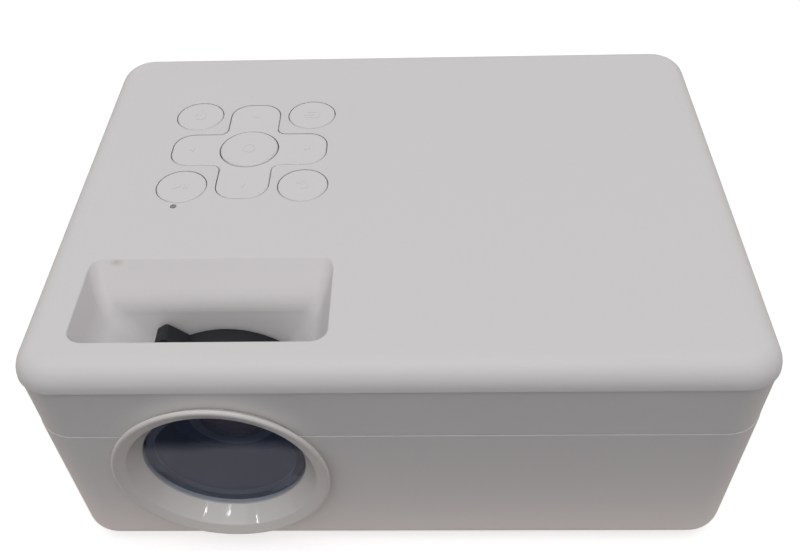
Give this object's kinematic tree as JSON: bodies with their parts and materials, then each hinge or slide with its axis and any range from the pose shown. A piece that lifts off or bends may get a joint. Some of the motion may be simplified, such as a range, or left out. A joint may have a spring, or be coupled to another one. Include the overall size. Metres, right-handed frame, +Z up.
{
  "type": "projector with disc player",
  "caption": "Compact table-top video projector with a disc tray in its side, a bezelled lens, a focus lug in a top well and a key cluster.",
  "frame": {"origin": "middle of the footprint, bezel rim included, on the surface that the feet stand on", "axes": "+Z up, +Y from the lens side to the back, +X to the right seen from the lens side"},
  "size_m": [0.24, 0.1881, 0.0986],
  "materials": {
    "white_case": "fine matte grain",
    "white_gloss": "polished",
    "white_keys": "satin",
    "black_plastic": "moulded matte",
    "lens_glass": "coated",
    "plate_glass": "clear",
    "retainer_metal": "satin",
    "sheet_steel": "plated",
    "aluminium_part": "extruded",
    "brass_part": "turned",
    "circuit_board": "solder mask",
    "rubber_part": "matte",
    "light_pipe": "frosted"
  },
  "bodies": {
    "housing": {"bottom_case": "white_case", "top_cover": "white_case", "lens_bezel": "white_gloss", "lens_mount": "black_plastic", "engine_box": "black_plastic", "engine_lid": "black_plastic", "fresnel_lens_front": "plate_glass", "lcd_panel": "plate_glass", "fresnel_lens_rear": "plate_glass", "heat_glass": "plate_glass", "light_funnel": "black_plastic", "led_board": "circuit_board", "heat_sink": "aluminium_part", "rear_fan_frame": "black_plastic", "keypad_board": "circuit_board", "key_switches": "circuit_board", "status_light": "light_pipe", "main_board": "circuit_board", "power_board": "circuit_board", "hdmi_sockets": "sheet_steel", "usb_socket": "sheet_steel", "jack_sockets": "black_plastic", "mains_inlet": "black_plastic", "remote_window": "black_plastic", "speaker_frames": "black_plastic", "speaker_cones": "rubber_part", "rubber_feet": "rubber_part", "case_screws": "sheet_steel", "machine_screws": "sheet_steel", "tripod_insert": "brass_part", "tilt_nut": "brass_part", "drive_base": "sheet_steel", "drive_cover": "sheet_steel", "drive_rails": "sheet_steel", "drive_board": "circuit_board"},
    "fan_rotor": {"rear_fan_rotor": "black_plastic"},
    "tilt_foot": {"tilt_foot": "black_plastic"},
    "focus_ring": {"focus_ring": "black_plastic"},
    "lens_cell": {"lens_barrel": "black_plastic", "cover_glass": "lens_glass", "lens_retainers": "retainer_metal", "front_lens": "lens_glass", "rear_lens": "lens_glass"},
    "power_key": {"power_key": "white_keys"},
    "source_key": {"source_key": "white_keys"},
    "play_key": {"play_key": "white_keys"},
    "menu_key": {"menu_key": "white_keys"},
    "ok_key": {"ok_key": "white_keys"},
    "nav_gimbal": {"nav_gimbal": "sheet_steel"},
    "nav_pad": {"nav_pad": "white_keys"},
    "tray_slides": {"tray_slides": "black_plastic"},
    "disc_tray": {"disc_tray": "black_plastic", "tray_panel": "white_case", "spindle_motor": "sheet_steel", "sled_rods": "sheet_steel", "sled_motor": "sheet_steel"},
    "eject_key": {"eject_key": "white_keys"},
    "turntable": {"turntable": "sheet_steel"},
    "laser_sled": {"laser_sled": "black_plastic"},
    "lead_screw": {"lead_screw": "sheet_steel"}
  },
  "joints": [
    {"name": "fan_spin", "type": "hinge", "parent": "housing", "child": "fan_rotor", "pos_m": [-0.0594, 0.0843, 0.0395], "axis": [0, 1, 0], "continuous": true},
    {"name": "tilt_foot_screw", "type": "slide", "parent": "housing", "child": "tilt_foot", "axis": [0, 0, -1], "range_m": [0, 0.014]},
    {"name": "focus_turn", "type": "hinge", "parent": "housing", "child": "focus_ring", "pos_m": [-0.0594, -0.06165, 0.0488], "axis": [0, 1, 0], "range_deg": [-4, 68]},
    {"name": "lens_travel", "type": "slide", "parent": "housing", "child": "lens_cell", "axis": [0, 1, 0], "range_m": [-0.0003, 0.0059]},
    {"name": "power_press", "type": "slide", "parent": "housing", "child": "power_key", "axis": [0, 0, -1], "range_m": [0, 0.0008], "stiffness_N_per_m": 900, "springref_m": -0.001},
    {"name": "source_press", "type": "slide", "parent": "housing", "child": "source_key", "axis": [0, 0, -1], "range_m": [0, 0.0008], "stiffness_N_per_m": 900, "springref_m": -0.001},
    {"name": "play_press", "type": "slide", "parent": "housing", "child": "play_key", "axis": [0, 0, -1], "range_m": [0, 0.0008], "stiffness_N_per_m": 900, "springref_m": -0.001},
    {"name": "menu_press", "type": "slide", "parent": "housing", "child": "menu_key", "axis": [0, 0, -1], "range_m": [0, 0.0008], "stiffness_N_per_m": 900, "springref_m": -0.001},
    {"name": "ok_press", "type": "slide", "parent": "housing", "child": "ok_key", "axis": [0, 0, -1], "range_m": [0, 0.0008], "stiffness_N_per_m": 900, "springref_m": -0.001},
    {"name": "nav_rock_side", "type": "hinge", "parent": "housing", "child": "nav_gimbal", "pos_m": [-0.0571, 0.02365, 0.093], "axis": [0, 1, 0], "range_deg": [-1.4, 1.4], "stiffness_Nm_per_rad": 1.5},
    {"name": "nav_rock_front", "type": "hinge", "parent": "nav_gimbal", "child": "nav_pad", "pos_m": [-0.0571, 0.02365, 0.093], "axis": [1, 0, 0], "range_deg": [-1.4, 1.4], "stiffness_Nm_per_rad": 1.5},
    {"name": "slides_out", "type": "slide", "parent": "housing", "child": "tray_slides", "axis": [1, 0, 0], "range_m": [0, 0.0592]},
    {"name": "tray_out", "type": "slide", "parent": "housing", "child": "disc_tray", "axis": [1, 0, 0], "range_m": [0, 0.118]},
    {"name": "eject_press", "type": "slide", "parent": "disc_tray", "child": "eject_key", "axis": [-1, 0, 0], "range_m": [0, 0.0005], "stiffness_N_per_m": 900, "springref_m": -0.001},
    {"name": "disc_spin", "type": "hinge", "parent": "disc_tray", "child": "turntable", "pos_m": [0.05455, 0.008, 0.041], "axis": [0, 0, 1], "continuous": true},
    {"name": "sled_travel", "type": "slide", "parent": "disc_tray", "child": "laser_sled", "axis": [-1, 0, 0], "range_m": [0, 0.032]},
    {"name": "lead_screw_turn", "type": "hinge", "parent": "disc_tray", "child": "lead_screw", "pos_m": [0.01455, 0.03, 0.0372], "axis": [1, 0, 0], "range_deg": [0, 3900]}
  ],
  "couplings": [
    {"joint": "focus_turn", "follows": "lens_travel", "rad_per_m": 200},
    {"joint": "slides_out", "follows": "tray_out", "ratio": 0.5},
    {"joint": "lead_screw_turn", "follows": "sled_travel", "rad_per_m": 2094.4}
  ]
}
